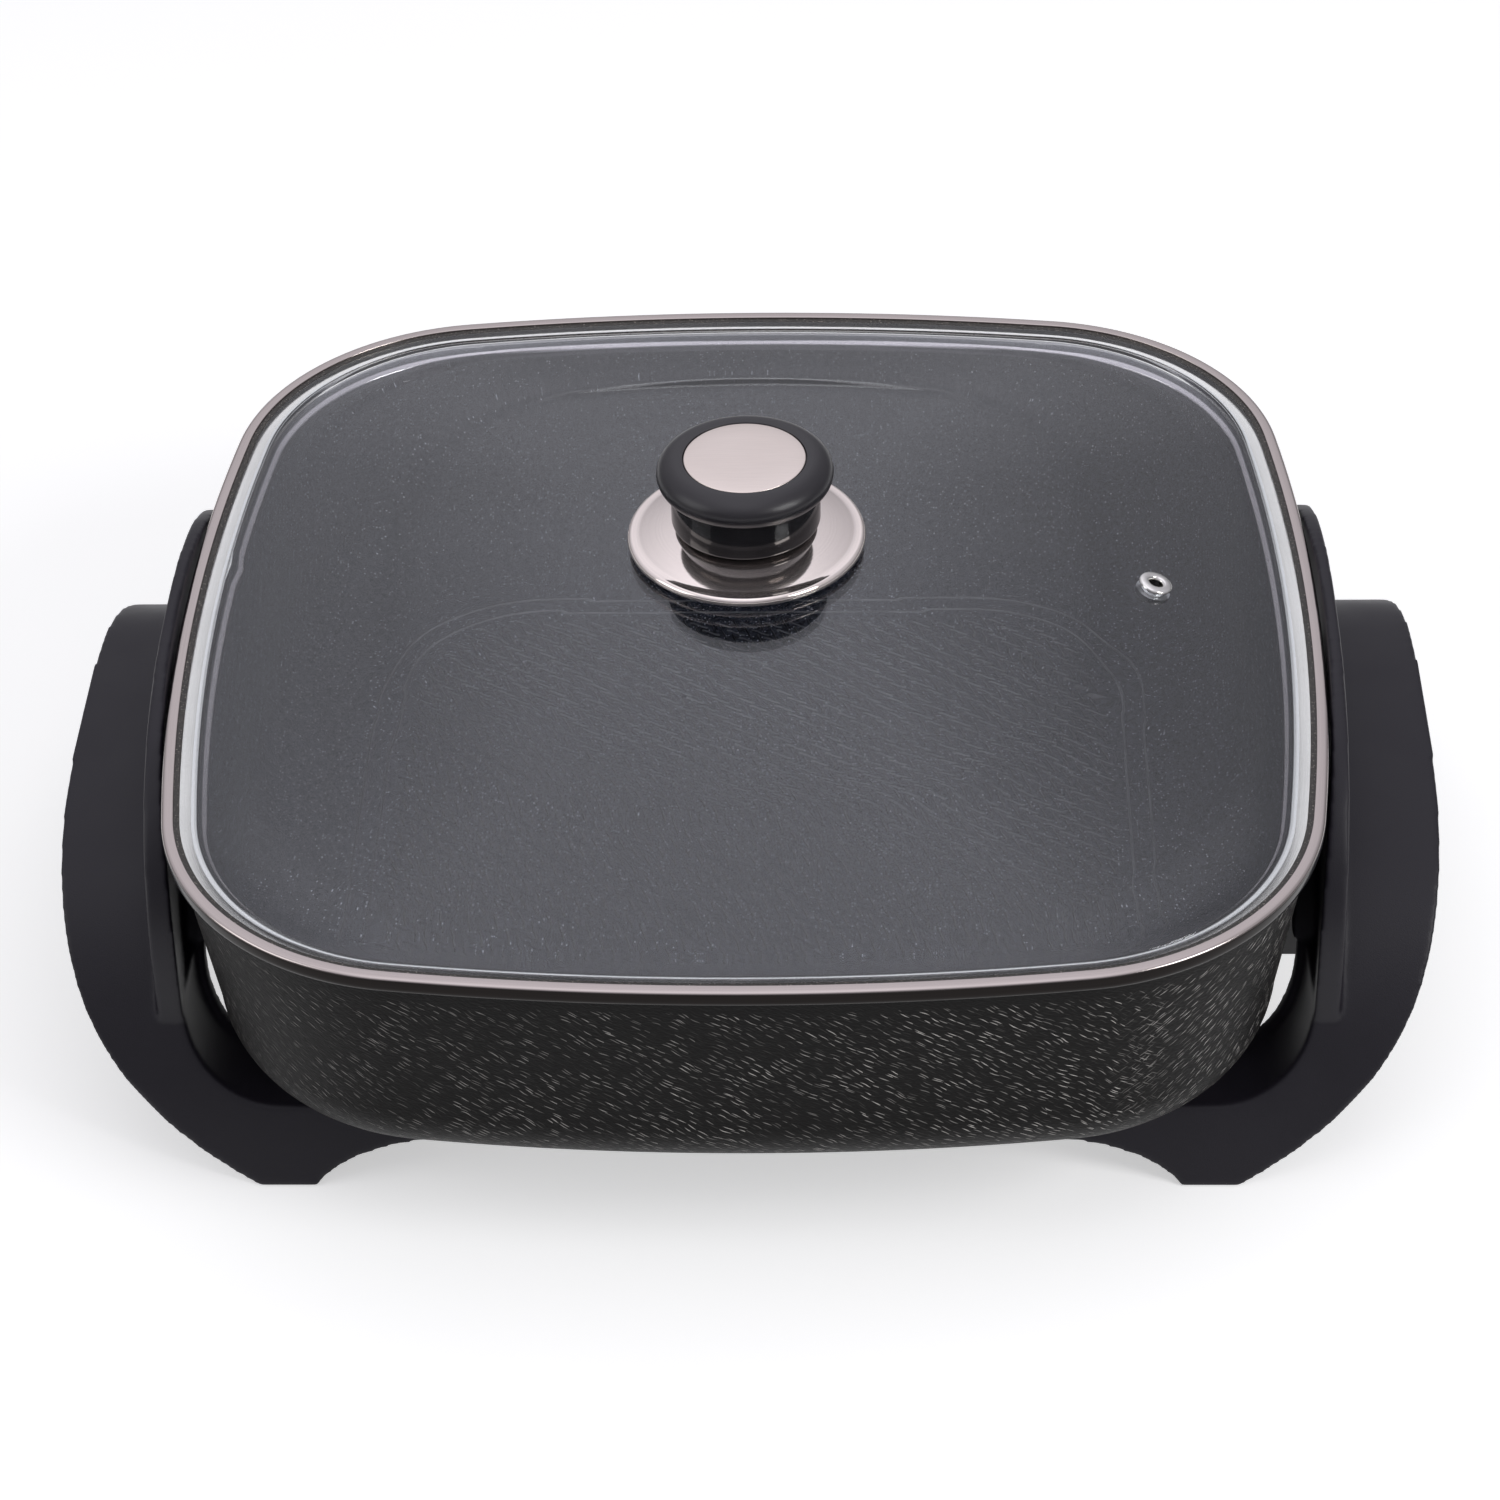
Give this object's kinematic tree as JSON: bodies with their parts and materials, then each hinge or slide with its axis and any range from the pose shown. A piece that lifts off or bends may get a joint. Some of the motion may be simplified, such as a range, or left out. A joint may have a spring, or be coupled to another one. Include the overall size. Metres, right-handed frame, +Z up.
{
  "type": "electric skillet",
  "caption": "Square electric skillet: deep cast pan on moulded handles with legs, lift-off glass lid with a steel rim and round knob.",
  "frame": {"origin": "on the table, under the middle of the pan", "axes": "+X from handle to handle, towards the inlet; +Y to the back; +Z up"},
  "size_m": [0.372, 0.31, 0.1609],
  "materials": {
    "lid_glass": "clear tempered glass",
    "rim_steel": "polished stainless steel",
    "vent_steel": "satin stainless steel",
    "zinc_steel": "zinc plated steel",
    "knob_black": "glossy black moulding",
    "cap_steel": "satin stainless steel",
    "plate_steel": "polished stainless steel",
    "gasket_rubber": "black silicone rubber",
    "insert_brass": "turned brass",
    "pan_coat": "cast, with a charcoal non-stick coat",
    "casting_aluminium": "raw cast aluminium",
    "element_sheath": "dull oxidised steel sheath",
    "bush_ceramic": "unglazed ceramic",
    "pin_nickel": "nickel plated",
    "terminal_board": "brown insulating board",
    "probe_steel": "drawn stainless tube",
    "guard_steel": "plain steel sheet",
    "handle_black": "satin black moulding",
    "strap_steel": "plain steel strip"
  },
  "bodies": {
    "base": {"pan": "pan_coat", "heater_casting": "casting_aluminium", "heating_element": "element_sheath", "element_bushes": "bush_ceramic", "terminal_pins": "pin_nickel", "terminal_plate": "terminal_board", "probe_tube": "probe_steel", "inlet_guard": "guard_steel", "inlet_screws": "zinc_steel", "left_handle": "handle_black", "right_handle": "handle_black", "left_strap": "strap_steel", "right_strap": "strap_steel", "strap_screws": "zinc_steel", "handle_screws": "zinc_steel"},
    "lid": {"lid_glass": "lid_glass", "lid_rim": "rim_steel", "steam_vent": "vent_steel", "vent_washer": "zinc_steel", "knob_grip": "knob_black", "knob_cap": "cap_steel", "knob_plate": "plate_steel", "upper_gasket": "gasket_rubber", "lower_gasket": "gasket_rubber", "knob_washer": "zinc_steel", "knob_screw": "zinc_steel", "knob_insert": "insert_brass"}
  },
  "joints": [
    {"name": "lid_lift", "type": "slide", "parent": "base", "child": "lid", "axis": [0, 0, 1], "range_m": [0, 0.2]}
  ]
}
